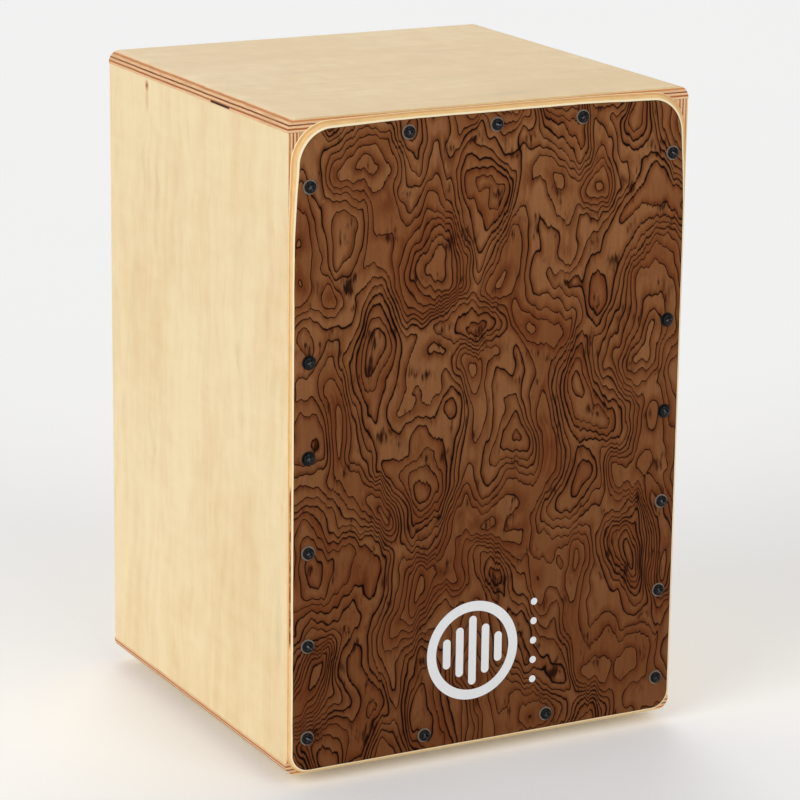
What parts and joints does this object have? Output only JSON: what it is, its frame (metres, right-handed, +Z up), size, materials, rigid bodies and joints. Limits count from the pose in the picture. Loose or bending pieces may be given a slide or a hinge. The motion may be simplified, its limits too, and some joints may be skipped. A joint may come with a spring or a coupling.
{
  "type": "cajon",
  "caption": "Plywood box drum: a screwed front plate with adjustable upper corners, fixed inner snares and a rear sound hole. The player sits on top and strikes the plate.",
  "frame": {"origin": "on the floor, under the middle of the whole drum (halfway between the rear edge and the plate screws' heads)", "axes": "+Z up, -Y towards the striking plate (the front), +X to the right as seen from the front"},
  "size_m": [0.3, 0.293, 0.452],
  "materials": {
    "birch_ply": "clear satin lacquer on birch plywood",
    "burl_plate": "satin lacquered dark burl veneer on thin plywood",
    "batten_wood": "bare sanded softwood",
    "black_screw": "black oxide",
    "dark_washer": "dark plated, thin bright rim",
    "zinc_steel": "bright zinc",
    "brass_strip": "dull brass",
    "foot_rubber": "matt black rubber",
    "white_print": "screen-printed white ink"
  },
  "bodies": {
    "cajon": {"top_panel": "birch_ply", "bottom_panel": "birch_ply", "left_side_panel": "birch_ply", "right_side_panel": "birch_ply", "back_panel": "birch_ply", "front_plate": "burl_plate", "emblem": "white_print", "front_top_batten": "batten_wood", "front_bottom_batten": "batten_wood", "front_left_batten": "batten_wood", "front_right_batten": "batten_wood", "rear_top_batten": "batten_wood", "rear_bottom_batten": "batten_wood", "rear_left_batten": "batten_wood", "rear_right_batten": "batten_wood", "plate_screws": "black_screw", "plate_washers": "dark_washer", "snare_bar": "batten_wood", "left_snare_block": "batten_wood", "right_snare_block": "batten_wood", "snare_bar_screws": "zinc_steel", "left_snare_wires": "zinc_steel", "right_snare_wires": "zinc_steel", "left_snare_strip": "brass_strip", "right_snare_strip": "brass_strip", "snare_strip_screws": "zinc_steel", "front_left_foot": "foot_rubber", "front_right_foot": "foot_rubber", "rear_left_foot": "foot_rubber", "rear_right_foot": "foot_rubber", "foot_screws": "zinc_steel", "foot_washers": "zinc_steel"},
    "left_corner_travel": {"left_corner_washer": "dark_washer"},
    "left_corner_turn": {"left_corner_screw": "black_screw"},
    "right_corner_travel": {"right_corner_washer": "dark_washer"},
    "right_corner_turn": {"right_corner_screw": "black_screw"}
  },
  "joints": [
    {"name": "left_corner_screw_travel", "type": "slide", "parent": "cajon", "child": "left_corner_travel", "axis": [0, -1, 0], "range_m": [0, 0.0027]},
    {"name": "left_corner_screw_turn", "type": "hinge", "parent": "left_corner_travel", "child": "left_corner_turn", "pos_m": [-0.136, -0.1435, 0.408], "axis": [0, -1, 0], "range_deg": [0, 540]},
    {"name": "right_corner_screw_travel", "type": "slide", "parent": "cajon", "child": "right_corner_travel", "axis": [0, -1, 0], "range_m": [0, 0.0027]},
    {"name": "right_corner_screw_turn", "type": "hinge", "parent": "right_corner_travel", "child": "right_corner_turn", "pos_m": [0.136, -0.1435, 0.408], "axis": [0, -1, 0], "range_deg": [0, 540]}
  ],
  "couplings": [
    {"joint": "left_corner_screw_turn", "follows": "left_corner_screw_travel", "rad_per_m": 3490.7},
    {"joint": "right_corner_screw_turn", "follows": "right_corner_screw_travel", "rad_per_m": 3490.7}
  ]
}
